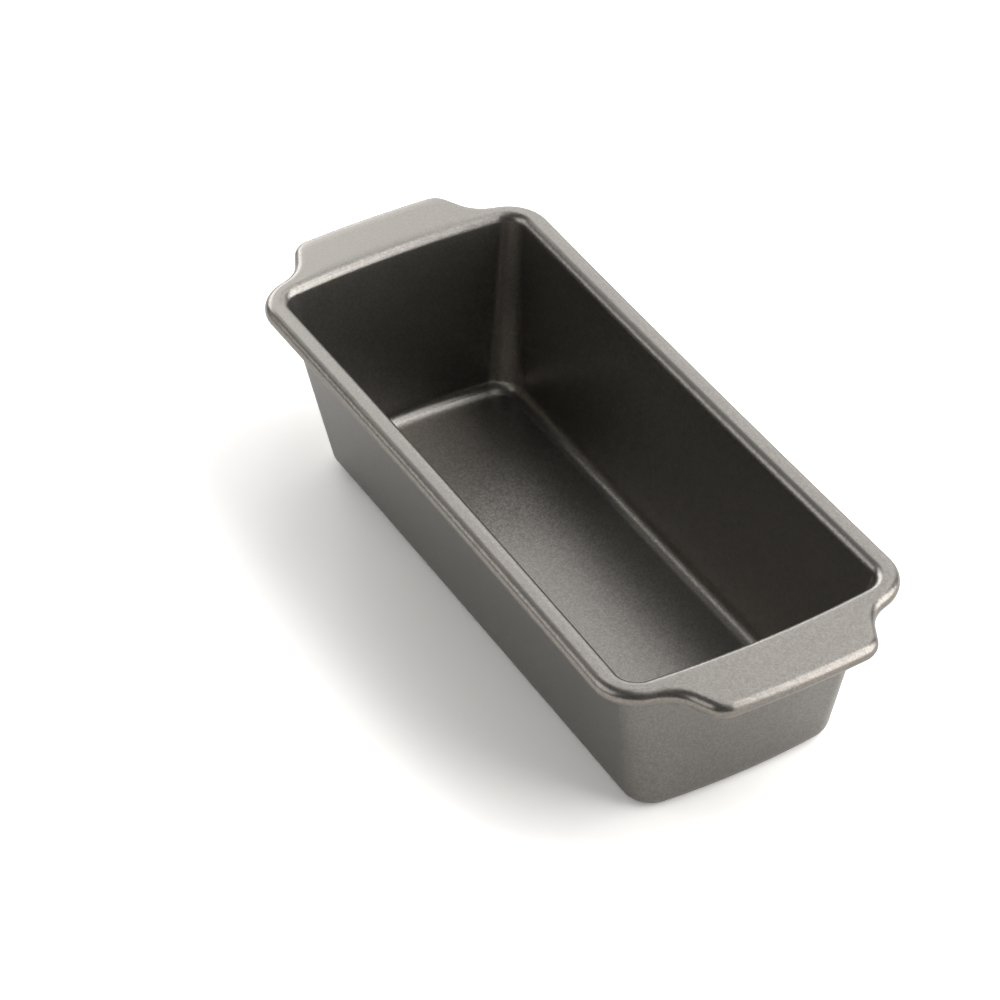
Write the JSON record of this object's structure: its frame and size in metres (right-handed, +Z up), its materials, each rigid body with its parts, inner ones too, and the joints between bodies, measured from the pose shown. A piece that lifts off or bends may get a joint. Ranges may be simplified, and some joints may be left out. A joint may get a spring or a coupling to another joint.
{
  "type": "loaf pan",
  "caption": "Long deep loaf pan in non-stick coated sheet steel, with drafted walls, rounded corners, a flat handle at each end and a curled rim over a wire",
  "frame": {"origin": "middle of the base, on the surface that the pan stands on", "axes": "+X along the pan from one handle to the other, +Y across it, +Z up out of the opening"},
  "size_m": [0.2924, 0.1136, 0.0704],
  "materials": {
    "nonstick_coating": "satin metallic non-stick coat with fine flake",
    "steel_wire": "drawn wire, plain"
  },
  "bodies": {
    "root": {"pan_shell": "nonstick_coating", "rim_wire": "steel_wire"}
  },
  "joints": []
}
